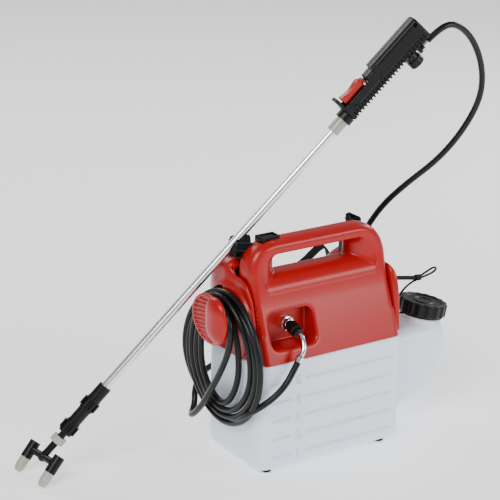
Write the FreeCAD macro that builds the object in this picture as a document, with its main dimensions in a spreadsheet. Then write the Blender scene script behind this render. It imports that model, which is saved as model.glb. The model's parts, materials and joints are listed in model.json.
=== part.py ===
"""Battery shoulder sprayer: translucent tank, moulded cover with a carrying handle, coiled hose
on a side hook, and a telescopic lance that leans on the cover with its twin nozzles on the ground.

Millimetres, +Z up, +X to the right along the front face, +Y to the back. The origin is on the
ground under the middle of the tank.
"""
import FreeCAD, Part
import math
import os
import re

from FreeCAD import Placement, Rotation, Vector

import Sketcher

SIZES = {
    # tank
    "tank_half_width": 120.5,
    "tank_front": 78.5,
    "tank_back": 79,
    "tank_taper": 2,
    "tank_bottom": 4,
    "seam_level": 161,
    "wall": 3,
    "front_corner": 20,
    "rear_corner": 45,
    "bottom_round": 12,
    "spout_reach": 99.6,
    "spout_centre_x": 127.3,
    "spout_centre_z": 128,
    "spout_shoulder": 22,
    "spout_half_depth": 38,
    "spout_centre_y": -12,
    "spout_round": 20,
    "level_first": 23.5,
    "level_pitch": 27.1,
    "level_count": 5,
    "neck_radius": 29,
    "neck_bore": 25.5,
    # cover
    "cover_left": 111.5,
    "cover_right": 111,
    "handle_top": 324.5,
    "grip_low": 274,
    "grip_high": 304,
    "housing_left": 121,
    "housing_right": 128,
    "housing_front": 66,
    "housing_back": 80,
    "housing_top": 286,
    # cap
    "cap_radius": 36,
    "cap_height": 19,
    "cap_bore": 29.6,
    "cap_bore_depth": 15,
    "cap_notch": 3.4,
    "cap_notch_count": 16,
    "gasket_height": 2,
    "gasket_radius": 28.6,
    "basket_radius": 24.6,
    "basket_depth": 42,
    "thread_pitch": 4,
    # hose and cords
    "hose_radius": 4.5,
    "tether_radius": 1.6,
    "strap_radius": 3,
    # lance
    "tube_radius": 6,
    "middle_radius": 4.9,
    "inner_radius": 3.8,
    "tube_wall": 0.9,
    "stroke": 300,
    "barrel_radius": 7.8,
    "barrel_spacing": 61,
    # power unit
    "cell_radius": 16.7,
    "cell_length": 61,
    "motor_radius": 15,
    "motor_length": 48,
}

doc = FreeCAD.newDocument("shoulder_sprayer")
sheet = doc.addObject("Spreadsheet::Sheet", "Sizes")
for row, (alias, value) in enumerate(SIZES.items(), 1):
    sheet.set(f"A{row}", alias)
    sheet.set(f"B{row}", str(value))
    sheet.setAlias(f"B{row}", alias)
doc.recompute()

NODES = []


def size(text):
    """The value of a cell, or of an expression in the sheet's cells."""
    value = sheet.evalExpression(str(text))
    return float(getattr(value, "Value", value))


def along(point, direction, across=None):
    """A placement at point whose local Z runs along direction, and local X near across."""
    third = Vector(direction).normalize()
    side = Vector(across) if across is not None else Vector(0, 1, 0)
    if side.cross(third).Length < 1e-3:
        side = Vector(1, 0, 0)
    second = third.cross(side).normalize()
    first = second.cross(third)
    return Placement(Vector(point), Rotation(first, second, third, "ZXY"))


def keep(obj, name):
    """Marks a document object as a sub-part that is written to its own file."""
    obj.Label = name
    NODES.append(obj)
    return obj


def bind(obj, **cells):
    for prop, text in cells.items():
        obj.setExpression(prop, driven(text))
    return obj


def cylinder(name, radius, height, place):
    obj = doc.addObject("Part::Cylinder", name)
    bind(obj, Radius=radius, Height=height)
    obj.Placement = place
    return obj


def box(name, length, width, height, place):
    obj = doc.addObject("Part::Box", name)
    bind(obj, Length=length, Width=width, Height=height)
    obj.Placement = place
    return obj


def prism(name, sides, radius, height, place):
    obj = doc.addObject("Part::Prism", name)
    obj.Polygon = sides
    bind(obj, Circumradius=radius, Height=height)
    obj.Placement = place
    return obj


def cut(name, base, tool):
    obj = doc.addObject("Part::Cut", name)
    obj.Base = base
    obj.Tool = tool
    return obj


def fuse(name, shapes):
    obj = doc.addObject("Part::MultiFuse", name)
    obj.Shapes = shapes
    return obj


def group(name, shapes):
    obj = doc.addObject("Part::Compound", name)
    obj.Links = shapes
    return obj


def feature(name, shape, place=None):
    obj = doc.addObject("Part::Feature", name)
    obj.Shape = shape
    if place is not None:
        obj.Placement = place
    return obj


def turned(name, profile, place):
    """A body of revolution about its own Z. The profile is a closed list of (radius, height)
    expressions, and each corner of its sketch is driven by them."""
    body = doc.addObject("PartDesign::Body", name)
    plane = next(f for f in body.Origin.OriginFeatures if f.Role == "XZ_Plane")
    sketch = body.newObject("Sketcher::SketchObject", name + "_profile")
    sketch.AttachmentSupport = [(plane, "")]
    sketch.MapMode = "FlatFace"
    corners = [Vector(size(r), size(h), 0) for r, h in profile]
    count = len(corners)
    for i in range(count):
        sketch.addGeometry(Part.LineSegment(corners[i], corners[(i + 1) % count]), False)
    for i in range(count):
        sketch.addConstraint(Sketcher.Constraint("Coincident", i, 2, (i + 1) % count, 1))
    for i, (radius, height) in enumerate(profile):
        for kind, axis, text, now in (
            ("DistanceX", -2, radius, corners[i].x),
            ("DistanceY", -1, height, corners[i].y),
        ):
            if abs(now) < 1e-9:
                sketch.addConstraint(Sketcher.Constraint("PointOnObject", i, 1, axis))
                continue
            if now > 0:
                index = sketch.addConstraint(Sketcher.Constraint(kind, -1, 1, i, 1, now))
                sketch.setExpression(f"Constraints[{index}]", driven(text))
            else:
                index = sketch.addConstraint(Sketcher.Constraint(kind, i, 1, -1, 1, -now))
                sketch.setExpression(f"Constraints[{index}]", f"-({driven(text)})")
    spin = body.newObject("PartDesign::Revolution", name + "_turn")
    spin.Profile = sketch
    spin.ReferenceAxis = (sketch, ["V_Axis"])
    spin.Angle = 360
    body.Tip = spin
    body.Placement = place
    return body


def driven(text):
    """The expression with each alias named as a cell of the sheet."""
    return re.sub(r"[a-z_]{3,}", lambda word: f"<<Sizes>>.{word.group()}", str(text))


def tube_profile(outer, inner, low, high):
    return [(inner, low), (outer, low), (outer, high), (inner, high)]


# Soft routes -----------------------------------------------------------------------------


def routed(points, radius):
    """Straight runs joined by tangent arcs, swept by a circle."""
    corners = [Vector(*p) for p in points]
    edges = []
    start = corners[0]
    for before, here, after in zip(corners, corners[1:], corners[2:]):
        back = (before - here).normalize()
        ahead = (after - here).normalize()
        half = (math.pi - back.getAngle(ahead)) / 2
        trim = 0.45 * min((before - here).Length, (after - here).Length)
        bend = trim / math.tan(half)
        first = here + back * trim
        last = here + ahead * trim
        middle = (back + ahead).normalize()
        centre = here + middle * (bend / math.cos(half))
        top = centre - middle * bend
        edges.append(Part.LineSegment(start, first).toShape())
        edges.append(Part.Arc(first, top, last).toShape())
        start = last
    edges.append(Part.LineSegment(start, corners[-1]).toShape())
    path = Part.Wire(edges)
    ring = Part.Wire([Part.Circle(corners[0], corners[1] - corners[0], radius).toShape()])
    return path.makePipeShell([ring], True, True)


# Plane outlines --------------------------------------------------------------------------


def rounded_outline(x0, x1, y0, y1, radii, place):
    """A rectangle with its own radius at each corner: (x0 y0), (x1 y0), (x1 y1), (x0 y1)."""
    corners = [(x0, y0, 1, 1), (x1, y0, -1, 1), (x1, y1, -1, -1), (x0, y1, 1, -1)]
    ends = []
    for (x, y, sx, sy), r in zip(corners, radii):
        on_x = Vector(x + sx * r, y, 0)
        on_y = Vector(x, y + sy * r, 0)
        lean = r * (1 - math.sqrt(0.5))
        ends.append((on_x, Vector(x + sx * lean, y + sy * lean, 0), on_y))
    order = [(e[2], e[1], e[0]) if i % 2 == 0 else e for i, e in enumerate(ends)]
    edges = []
    for i, (first, top, last) in enumerate(order):
        edges.append(Part.Arc(first, top, last).toShape())
        following = order[(i + 1) % 4][0]
        edges.append(Part.LineSegment(last, following).toShape())
    wire = Part.Wire(edges)
    wire.Placement = place
    return wire


def upright(y):
    """Takes an outline's x, y to the model's x, z at depth y."""
    return Placement(Vector(0, y, 0), Rotation(Vector(1, 0, 0), 90))


def side_prism(points, x0, x1):
    """A prism along X whose section is a closed polygon of (y, z)."""
    loop = [Vector(x0, y, z) for y, z in points]
    loop.append(loop[0])
    return Part.Face(Part.makePolygon(loop)).extrude(Vector(x1 - x0, 0, 0))


def block(x0, x1, y0, y1, z0, z1):
    return Part.makeBox(x1 - x0, y1 - y0, z1 - z0, Vector(x0, y0, z0))


def rod(radius, start, end):
    way = Vector(*end) - Vector(*start)
    return Part.makeCylinder(radius, way.Length, Vector(*start), way)


# Tank ------------------------------------------------------------------------------------

FILLER_AXIS = Vector(0.196, -0.04, 0.98).normalize()
CAP_TOP = Vector(206.5, -12, 176)


def on_filler(depth):
    """The point on the filler's axis this far below the cap's top face."""
    return CAP_TOP - FILLER_AXIS * depth


def tank_block(inset):
    half = size("tank_half_width") - inset
    low = size("tank_bottom") + inset
    high = size("seam_level") - inset
    wires = []
    for level, grow in ((low, size("tank_taper")), (high, 0)):
        front = max(size("front_corner") - inset, 2)
        rear = size("rear_corner") - inset
        wires.append(
            rounded_outline(
                -half - grow, half + grow,
                -size("tank_front") + inset - grow / 2, size("tank_back") - inset + grow / 2,
                (front, front, rear, rear), Placement(Vector(0, 0, level), Rotation()),
            )
        )
    shell = Part.makeLoft(wires, True, True)
    rim = [e for e in shell.Edges if abs(e.BoundBox.ZMax - low) < 1e-6]
    return shell.makeFillet(size("bottom_round") - inset, rim)


def spout(inset):
    """The quarter-round bulge on the right that carries the filler neck."""
    reach = size("spout_reach") - inset
    shoulder = size("spout_shoulder") - inset
    cx = size("spout_centre_x")
    cz = size("spout_centre_z")
    left = size("tank_half_width") - 30
    right = cx + reach
    y0 = size("spout_centre_y") + size("spout_half_depth") - inset
    depth = 2 * (size("spout_half_depth") - inset)
    diagonal = math.sqrt(0.5)
    a = Vector(left, y0, cz + shoulder)
    b = Vector(right - shoulder, y0, cz + shoulder)
    b_top = Vector(right - shoulder * (1 - diagonal), y0, cz + shoulder * diagonal)
    c = Vector(right, y0, cz)
    c_low = Vector(cx + reach * diagonal, y0, cz - reach * diagonal)
    d = Vector(cx, y0, cz - reach)
    e = Vector(left, y0, cz - reach)
    wire = Part.Wire([
        Part.LineSegment(a, b).toShape(),
        Part.Arc(b, b_top, c).toShape(),
        Part.Arc(c, c_low, d).toShape(),
        Part.LineSegment(d, e).toShape(),
        Part.LineSegment(e, a).toShape(),
    ])
    body = Part.Face(wire).extrude(Vector(0, -depth, 0))
    rims = [
        edge for edge in body.Edges
        if edge.BoundBox.YLength < 1e-6 and edge.BoundBox.XMax > left + 1
    ]
    return body.makeFillet(size("spout_round") - inset, rims)


def level_marks():
    """Raised marks on the front, a long and a short one for each litre."""
    bars = []
    for i in range(int(size("level_count"))):
        z = size("level_first") + i * size("level_pitch")
        bars.append(block(-46, 101, -80.6, -77, z - 1.6, z + 1.6))
        bars.append(block(-101, -69, -80.6, -77, z - 1.6, z + 1.6))
    return bars


def make_tank():
    wall = size("wall")
    neck = rod(size("neck_radius"), on_filler(42), on_filler(7.6))
    bore = rod(size("neck_bore"), on_filler(60), on_filler(0))
    outer = tank_block(0).multiFuse([spout(0), neck] + level_marks())
    inner = tank_block(wall).multiFuse([spout(wall), bore])
    suction_hole = rod(5.5, (-20, -15, 150), (-20, -15, 170))
    shape = outer.cut(inner).cut(suction_hole)
    keep(feature("tank_shell", shape.removeSplitter()), "tank_shell")
    feet = []
    for i, (x, y) in enumerate(((-100, -64), (92, -64), (-80, 58), (84, 58))):
        place = Placement(Vector(x, y, 0), Rotation())
        feet.append(turned(f"foot_{i}", [("0", "0"), ("6", "0"), ("7", "1"), ("7", "tank_bottom"),
                                         ("0", "tank_bottom")], place))
    keep(group("tank_feet", feet), "tank_feet")


# Cover -----------------------------------------------------------------------------------

FRONT_SIDE = [(-78.5, 161), (-77.5, 168), (-38, 275), (-38, 308), (-33, 318), (-26, 323.5),
              (-20, 324.5), (-14, 323.5), (-7, 318), (-2, 308), (-2, 161)]
REAR_SIDE = [(-66, 161), (-66, 232), (-52, 262), (-30, 281), (0, 286), (28, 276), (52, 260),
             (70, 245), (80, 225), (80, 161)]


def front_envelope():
    face = rounded_outline(
        -size("cover_left"), size("cover_right"), size("seam_level"), size("handle_top"),
        (1, 1, 52, 34), upright(-90),
    )
    across = Part.Face(face).extrude(Vector(0, 120, 0))
    return across.common(side_prism(FRONT_SIDE, -140, 140))


def make_cover_front():
    """The leaning front panel with the handle, hollow below the handle and open at the back."""
    shape = front_envelope()
    hollow = side_prism([(-75, 158), (-74, 168), (-50, 234), (-44, 244), (0, 244), (0, 158)],
                        -108, 107.5)
    shape = shape.cut(hollow)
    tub = block(-98, -20, -73, -37, 176, 229).common(front_envelope())
    shape = shape.fuse(tub)
    pocket = rounded_outline(-95, -23, 179, 226, (10, 10, 10, 10), upright(-95))
    shape = shape.cut(Part.Face(pocket).extrude(Vector(0, 55, 0)))
    grip = rounded_outline(-65, 61, size("grip_low"), size("grip_high"), (4, 4, 13, 13),
                           upright(-90))
    shape = shape.cut(Part.Face(grip).extrude(Vector(0, 120, 0)))
    roll = rod(27.6, (-92, -20, 245), (90, -20, 245))
    scoop = rounded_outline(-86, 84, 247, 283, (6, 6, 16, 16), upright(-60))
    lip = Part.Face(scoop).extrude(Vector(0, 40, 0)).cut(roll)
    shape = shape.cut(lip)
    switch_well = block(-85, -56, -25, -7, 309, 330)
    union_hole = rod(6.2, (OUTLET_X, -45, OUTLET_Z), (OUTLET_X, -30, OUTLET_Z))
    shape = shape.cut(switch_well).cut(union_hole)
    keep(feature("cover_front", shape.removeSplitter()), "cover_front")


def housing_block(inset):
    low = size("seam_level") - (0 if inset == 0 else 3)
    left, right = size("housing_left") - inset, size("housing_right") - inset
    front, back = size("housing_front") - inset, size("housing_back") - inset
    plan = rounded_outline(-left, right, -front, back, (8, 8, 44 - inset, 44 - inset),
                           Placement(Vector(0, 0, low), Rotation()))
    solid = Part.Face(plan).extrude(Vector(0, 0, 200))
    top = size("housing_top") - inset
    face = rounded_outline(-left, right, low, top, (1, 1, 62, 30), upright(-90))
    solid = solid.common(Part.Face(face).extrude(Vector(0, 200, 0)))
    side = [(y + inset if y < 0 else y - inset, z - inset if z > 170 else low)
            for y, z in REAR_SIDE]
    solid = solid.common(side_prism(side, -160, 160))
    saddle = [(-80, 264 - inset), (0, 262 - inset), (50, 244 - inset), (90, 222 - inset),
              (90, 320), (-80, 320)]
    return solid.cut(side_prism(saddle, -64 - inset, 84 + inset))


def make_housing():
    """The rear housing over pump and batteries, with the hole for the battery door."""
    panel_side = block(-111.8, 111.3, -90, -1.7, 150, 330)
    shape = housing_block(0).cut(housing_block(3)).cut(panel_side)
    door_hole = block(-66.5, 76.5, 70, 90, 166.5, 209.5)
    shape = shape.cut(door_hole).removeSplitter()
    solids = sorted(shape.Solids, key=lambda s: s.Volume)
    keep(feature("rear_housing", solids[-1]), "rear_housing")
    door = block(-66, 76, 77, 80, 169, 209)
    barrel = rod(3, (-66, 78.5, 169.8), (76, 78.5, 169.8))
    bore = rod(1.28, (-70, 78.5, 169.8), (80, 78.5, 169.8))
    catch = block(-3, 13, 80, 82, 196, 207).fuse(block(-3, 13, 82, 83.2, 198, 200))
    door = door.fuse(barrel).fuse(catch).cut(bore)
    keep(feature("battery_door", door.removeSplitter()), "battery_door")
    pin = cylinder("door_pin", "1.25", "142.8",
                   Placement(Vector(-66.4, 78.5, 169.8), Rotation(Vector(0, 1, 0), 90)))
    keep(pin, "door_pin")


def make_screws():
    screws = []
    for i, x in enumerate((-62, -20, 30, 72)):
        place = along((x, 76.5, 217), (0, 1, 0), (1, 0, 0))
        screws.append(turned(f"housing_screw_{i}", [("0", "0"), ("1.6", "0"), ("1.6", "3.5"),
                                                   ("3.6", "3.5"), ("3", "5.2"), ("0", "5.2")],
                             place))
    keep(group("housing_screws", screws), "housing_screws")


def make_switch():
    outer = box("switch_outer", "28.6", "17.6", "16",
                Placement(Vector(-84.8, -24.8, 309.1), Rotation()))
    well = box("switch_inside", "23", "12.6", "12",
               Placement(Vector(-82, -22.3, 314.6), Rotation()))
    keep(cut("switch_housing", outer, well), "switch_housing")
    rocker = side_prism([(-22, 318), (-10, 318), (-10, 323.6), (-22, 323.6)], -80.9, -60.1)
    keel = rod(3, (-70.5, -22, 319), (-70.5, -10, 319))
    keep(feature("switch_rocker", rocker.fuse(keel).removeSplitter()), "switch_rocker")


# Power unit ------------------------------------------------------------------------------


def make_power_unit():
    outer = box("battery_box_outer", "140", "66", "40",
                Placement(Vector(-65, 9.5, 168.5), Rotation()))
    inner = box("battery_box_inner", "137", "66", "36",
                Placement(Vector(-63.5, 11, 170.5), Rotation()))
    keep(cut("battery_box", outer, inner), "battery_box")
    cells = []
    for i in range(4):
        centre = Vector(-46.4 + i * 34.4, 12, 188.5)
        cells.append(turned(f"cell_{i}", [
            ("0", "0"), ("cell_radius", "0"), ("cell_radius", "cell_length - 2"),
            ("5", "cell_length - 2"), ("5", "cell_length"), ("0", "cell_length")],
            along(centre, (0, 1, 0), (1, 0, 0))))
    keep(group("battery_cells", cells), "battery_cells")
    motor = turned("motor", [
        ("0", "0"), ("motor_radius", "0"), ("motor_radius", "motor_length"),
        ("6", "motor_length"), ("6", "motor_length + 3"), ("0", "motor_length + 3")],
        along((22, -16, 217), (1, 0, 0)))
    keep(motor, "motor")
    case = box("pump_case", "32", "36", "36", Placement(Vector(-10.3, -34, 199), Rotation()))
    inlet = cylinder("pump_inlet", "4", "14", Placement(Vector(-20, -15, 186), Rotation()))
    head = box("pump_head", "18", "30", "26", Placement(Vector(-28.3, -31, 200), Rotation()))
    keep(fuse("pump", [case, head, inlet]), "pump")
    suction = turned("suction_tube", tube_profile("5", "3.2", "0", "166"),
                     Placement(Vector(-20, -15, 20), Rotation()))
    keep(suction, "suction_tube")
    foot = turned("suction_strainer", tube_profile("10", "8.6", "0", "22"),
                  Placement(Vector(-20, -15, 7.2), Rotation()))
    lid = cylinder("strainer_lid", "8.6", "2", Placement(Vector(-20, -15, 27.2), Rotation()))
    hole = cylinder("strainer_hole", "5.05", "9", Placement(Vector(-20, -15, 24), Rotation()))
    keep(cut("suction_filter", fuse("strainer_body", [foot, lid]), hole), "suction_filter")
    delivery = routed([(-28.3, -18, 213), (-40, -14, 214), (-50, 2, 213),
                       (OUTLET_X, 4, OUTLET_Z), (OUTLET_X, -26, OUTLET_Z)], 2.9)
    keep(feature("delivery_hose", delivery), "delivery_hose")


# Outlet ----------------------------------------------------------------------------------

OUTLET_X = -54
OUTLET_Z = 202.5
SLEEVE_WAY = Vector(-0.04, -0.98, -0.2).normalize()


def at_outlet(y):
    """A placement on the outlet's axis at depth y, running out of the panel."""
    return along((OUTLET_X, y, OUTLET_Z), (0, -1, 0))


def make_outlet():
    stem = cylinder("union_stem", "6", "20", at_outlet(-28))
    flange = cylinder("union_flange", "9.5", "3", at_outlet(-40.2))
    tail = cylinder("union_tail", "3", "10", at_outlet(-22))
    keep(fuse("outlet_union", [stem, flange, tail]), "outlet_union")
    nut = prism("outlet_nut_blank", 6, "9.8", "4", at_outlet(-43.3))
    bore = cylinder("outlet_nut_bore", "6.05", "12", at_outlet(-40))
    keep(cut("outlet_nut", nut, bore), "outlet_nut")
    start = Vector(OUTLET_X, -49, OUTLET_Z)
    sleeve = turned("outlet_sleeve", [
        ("3.7", "0"), ("4.6", "0"), ("8.6", "4"), ("8.6", "17"), ("6.8", "19"), ("6.8", "25"),
        ("3.7", "25")],
        along(start, SLEEVE_WAY))
    keep(sleeve, "outlet_sleeve")
    bend = [start + SLEEVE_WAY * 6, start + SLEEVE_WAY * 35, Vector(-59, -93, 182),
            Vector(-73, -93, 160)]
    keep(feature("outlet_elbow", routed([tuple(p) for p in bend], 3.6)), "outlet_elbow")
    return bend[-1], (bend[-1] - bend[-2]).normalize()


# Lance frame: local Z along the lance towards the gun, local X to its upper side.

LANCE_FOOT = Vector(-392.1, 84, 8.8)
LANCE_WAY = Vector(0.672, -0.175, 0.72).normalize()
LANCE_UP = Vector(-0.696, 0.182, 0.694)
LANCE_UP = (LANCE_UP - LANCE_WAY * LANCE_UP.dot(LANCE_WAY)).normalize()
LANCE_SIDE = LANCE_WAY.cross(LANCE_UP)
BARB_DROP = -15.5


def lance(t, up=0.0, side=0.0):
    return LANCE_FOOT + LANCE_WAY * t + LANCE_UP * up + LANCE_SIDE * side


def on_lance(t):
    return along(lance(t), LANCE_WAY, LANCE_UP)


# Side hook -------------------------------------------------------------------------------


def make_hook():
    neck = rod(21, (-121, 0, 207), (-152, 0, 207))
    plate = Part.Ellipse(Vector(0, 0, 0), 43, 35.5).toShape()
    face = Part.Face(Part.Wire([plate]))
    turn = Rotation(Vector(0, 1, 0), Vector(0, 0, 1), Vector(1, 0, 0), "ZXY")
    face.Placement = Placement(Vector(-152, -5, 216.5), turn)
    disc = face.extrude(Vector(-6, 0, 0))
    lobe = rod(15, (-158, -18, 222), (-166, -18, 222)).fuse(
        block(-166, -158, -33, -3, 196, 222)).fuse(rod(15, (-158, -18, 196), (-166, -18, 196)))
    keep(feature("hose_hook", neck.multiFuse([disc, lobe]).removeSplitter()), "hose_hook")


# Hose ------------------------------------------------------------------------------------

COIL_CENTRE = (-8, 153)


def make_coil():
    """The outer shape of the coil that hangs on the hook."""
    y, z = COIL_CENTRE

    def ring(a, b, lift, x0, x1):
        big, small = max(a, b), min(a, b)
        curve = Part.Ellipse(Vector(0, 0, 0), big, small).toShape()
        face = Part.Face(Part.Wire([curve]))
        turn = Rotation(Vector(0, 1, 0), Vector(0, 0, 1), Vector(1, 0, 0), "ZXY")
        if b > a:
            turn = Rotation(Vector(0, 0, 1), Vector(0, -1, 0), Vector(1, 0, 0), "ZXY")
        face.Placement = Placement(Vector(x0, y, z + lift), turn)
        return face.extrude(Vector(x1 - x0, 0, 0))

    outer = ring(96, 100, 0, -150, -125)
    inner = ring(70, 74, 3.5, -160, -100)
    keep(feature("hose_coil", outer.cut(inner)), "hose_coil")


def make_hose(tail_start, tail_way):
    radius = size("hose_radius")
    start = tail_start - tail_way * 16
    tail = [tuple(start), tuple(start + tail_way * 24), (-82, -99, 143), (-96, -104, 123),
            (-116, -100, 104), (-137.5, -80, 88)]
    keep(feature("hose_outlet_run", routed(tail, radius)), "hose_outlet_run")
    riser = [(-142, 30, 74), (-142, 48, 62), (-134, 68, 70), (-114, 92, 88), (-80, 104, 98),
             (-26, 110, 100), (30, 112, 104), (78, 112, 126), (116, 108, 164), (147, 99, 212), (169, 84, 264),
             (181, 62, 304), (203, 36, 340), (233, 0, 382), (256, -25, 428), (271.6, -42, 478),
             (261.6, -53.4, 526.4), (235, -60.2, 571.3), (197, -65.7, 598)]
    riser += [tuple(lance(819, BARB_DROP)), tuple(lance(787, BARB_DROP))]
    keep(feature("hose_gun_run", routed(riser, radius)), "hose_gun_run")


# Filler cap ------------------------------------------------------------------------------


def make_cap():
    frame = along(on_filler(size("cap_height")), FILLER_AXIS, (0, 1, 0))
    top = turned("cap_blank", [
        ("cap_bore", "0"), ("cap_radius", "0"), ("cap_radius", "cap_height - 1.5"),
        ("cap_radius - 2.5", "cap_height"), ("0", "cap_height"), ("0", "cap_bore_depth"),
        ("cap_bore", "cap_bore_depth")], frame)
    notches = []
    for k in range(int(size("cap_notch_count"))):
        notch = cylinder(f"cap_notch_{k}", "cap_notch", "cap_height + 2", Placement())
        spin = Rotation(Vector(0, 0, 1), k * 360 / size("cap_notch_count"))
        offset = Vector(size("cap_radius + 1.4"), 0, -1)
        notch.Placement = frame.multiply(Placement(spin.multVec(offset), spin))
        notches.append(notch)
    keep(cut("filler_cap", top, fuse("cap_notches", notches)), "filler_cap")
    gasket = turned("cap_gasket", tube_profile("gasket_radius", "20", "0", "gasket_height"),
                    along(on_filler(6), FILLER_AXIS, (0, 1, 0)))
    keep(gasket, "cap_gasket")
    basket = turned("filler_strainer", [
        ("0", "0"), ("basket_radius", "0"), ("basket_radius", "basket_depth - 1.4"),
        ("gasket_radius", "basket_depth - 1.4"), ("gasket_radius", "basket_depth"),
        ("basket_radius - 1.2", "basket_depth"), ("basket_radius - 1.2", "1.2"), ("0", "1.2")],
        along(on_filler(6.1 + size("basket_depth")), FILLER_AXIS, (0, 1, 0)))
    keep(basket, "filler_strainer")
    ring = turned("tether_ring", tube_profile("32", "neck_radius + 0.1", "0", "2.2"),
                  along(on_filler(21.6), FILLER_AXIS, (0, 1, 0)))
    keep(ring, "tether_ring")


def make_tether():
    """The cap's tether: a sleeve on the housing, a bead, a thin loop and a strand to the ring."""
    keep(feature("tether_sleeve", routed([(127, 14, 214), (153, 8, 213), (179, 3, 210),
                                          (199, 0, 207)], 3.1)), "tether_sleeve")
    bead = cylinder("tether_bead", "4.6", "8", along((199, 0, 207), (0.98, -0.05, -0.02)))
    keep(bead, "tether_bead")
    loop = [(207, -0.5, 208.5), (216, -2, 213), (227, -2, 217.5), (236, 0, 217), (239, 3, 211),
            (233, 5, 206.5), (222, 4, 205), (209, 2, 204), (193, 0, 202), (177, -3, 196),
            (164, -6, 186), (159, -9, 174), (161, -10, 164), (170.6, -10, 161.2)]
    keep(feature("tether_cord", routed(loop, size("tether_radius"))), "tether_cord")


# Strap -----------------------------------------------------------------------------------


def make_strap():
    rest = block(-119, -109, 6, 16, 250, 291.5)
    keep(feature("lance_rest", rest.cut(housing_block(0))), "lance_rest")
    posts = []
    buckles = []
    for name, x0, x1 in (("left", -104, -80), ("right", 80, 106)):
        post = block(x0, x1, 8, 28, 244, 294).cut(
            block(x0 + 3, x1 - 3, 0, 40, 286, 291)).cut(housing_block(0))
        solid = max(post.Solids, key=lambda s: s.Volume)
        posts.append(feature(f"strap_anchor_{name}", solid))
    for name, centre, face in (("left", (-91, 17, 305), (-0.5, -0.84, 0.1)),
                               ("right", (95, 14, 307), (0.3, -0.8, 0.5))):
        frame = along(centre, face, (0.84, -0.54, 0))
        outer = Part.makeBox(27, 20, 5, Vector(-13.5, -10, -2.5))
        slot = Part.makeBox(21, 5, 9, Vector(-10.5, -7, -4.5))
        slot_high = Part.makeBox(21, 5, 9, Vector(-10.5, 2, -4.5))
        buckle = feature(f"strap_buckle_{name}", outer.cut(slot).cut(slot_high), frame)
        buckles.append(buckle)
    keep(group("strap_anchors", posts), "strap_anchors")
    keep(group("strap_buckles", buckles), "strap_buckles")
    route = [(-90, 24, 303), (-87, 42, 302), (-79, 62, 290), (-71, 82, 266), (-57, 92, 242),
             (-31, 94, 226), (1, 94, 220), (33, 93, 219), (55, 93, 223), (71, 92, 233),
             (87, 91, 246), (98, 90, 250), (104, 89, 240), (107, 88, 222), (113, 87, 206),
             (125, 84, 204), (134, 77, 220), (134, 64, 250), (121, 42, 284), (99, 22, 304)]
    keep(feature("shoulder_strap", routed(route, size("strap_radius"))), "shoulder_strap")


# Lance and gun ---------------------------------------------------------------------------

GUN_FRAME = on_lance(0)


def gun_block(t0, t1, up0, up1, half_width):
    """A box in the lance's own frame: X up, Y across, Z along."""
    return Part.makeBox(up1 - up0, 2 * half_width, t1 - t0, Vector(up0, -half_width, t0))


def make_lance():
    keep(turned("lance_tube", tube_profile("tube_radius", "tube_radius - tube_wall", "0", "488"),
                on_lance(150)), "lance_tube")
    keep(turned("lance_middle_tube",
                tube_profile("middle_radius", "middle_radius - tube_wall", "0", "stroke + 40"),
                on_lance(108)), "lance_middle_tube")
    keep(turned("lance_inner_tube",
                tube_profile("inner_radius", "inner_radius - tube_wall", "0", "stroke + 60"),
                on_lance(72)), "lance_inner_tube")
    keep(turned("collar_nut", tube_profile("8.75", "6.05", "0", "29"), on_lance(624)),
         "collar_nut")
    keep(turned("sleeve_upper", tube_profile("9.5", "6.05", "0", "22.6"), on_lance(138.4)),
         "sleeve_upper")
    for name, start, bore in (("lock_nut_upper", 118.2, "5"), ("lock_nut_lower", 76.2, "3.9")):
        nut = turned(name + "_core", tube_profile("10", bore, "0", "20"), on_lance(start))
        wings = []
        for k in range(8):
            wing = box(f"{name}_wing_{k}", "5.2", "3", "13", Placement())
            spin = Rotation(Vector(0, 0, 1), k * 45)
            wing.Placement = on_lance(start + 3.5).multiply(
                Placement(spin.multVec(Vector(7.4, -1.5, 0)), spin))
            wings.append(wing)
        keep(fuse(name, [nut] + wings), name)
    keep(turned("sleeve_lower", tube_profile("9", "5", "0", "21.6"), on_lance(96.4)),
         "sleeve_lower")


TEE = Vector(-369, 82, 30.2)
BAR_WAY = Vector(0.1, -0.995, 0).normalize()
BARREL_WAY = Vector(-0.667, -0.067, -0.741)
BARREL_WAY = (BARREL_WAY - BAR_WAY * BARREL_WAY.dot(BAR_WAY)).normalize()


def make_nozzles():
    keep(turned("union_ring", tube_profile("10", "5.2", "0", "10"), on_lance(58.5)), "union_ring")
    neck = rod(5.1, tuple(TEE), tuple(lance(58)))
    upper = rod(5.1, tuple(lance(56)), tuple(lance(76)))
    throat = rod(2.4, tuple(lance(54)), tuple(lance(80)))
    socket = rod(3.86, tuple(lance(71.9)), tuple(lance(80)))
    reach = size("barrel_spacing") / 2
    bar = rod(5, tuple(TEE - BAR_WAY * (reach - 8.1)), tuple(TEE + BAR_WAY * (reach - 8.1)))
    hub = Part.makeSphere(7.5, TEE)
    tee = neck.fuse(upper).fuse(hub).fuse(bar).cut(throat).cut(socket)
    keep(feature("nozzle_tee", tee), "nozzle_tee")
    for name, sign in (("left", -1), ("right", 1)):
        centre = TEE + BAR_WAY * (sign * reach)
        frame = along(centre - BARREL_WAY * 12, BARREL_WAY, BAR_WAY)
        keep(turned(f"nozzle_barrel_{name}", [
            ("0", "4"), ("5", "4"), ("5", "0"), ("barrel_radius", "0"), ("barrel_radius", "26"),
            ("0", "26")], frame), f"nozzle_barrel_{name}")
        tip = along(centre + BARREL_WAY * 14.2, BARREL_WAY, BAR_WAY)
        keep(turned(f"nozzle_tip_{name}", [
            ("1.2", "0"), ("7.2", "0"), ("7.2", "12"), ("6.4", "17"), ("4.6", "21"),
            ("1.2", "21.6")], tip), f"nozzle_tip_{name}")


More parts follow.
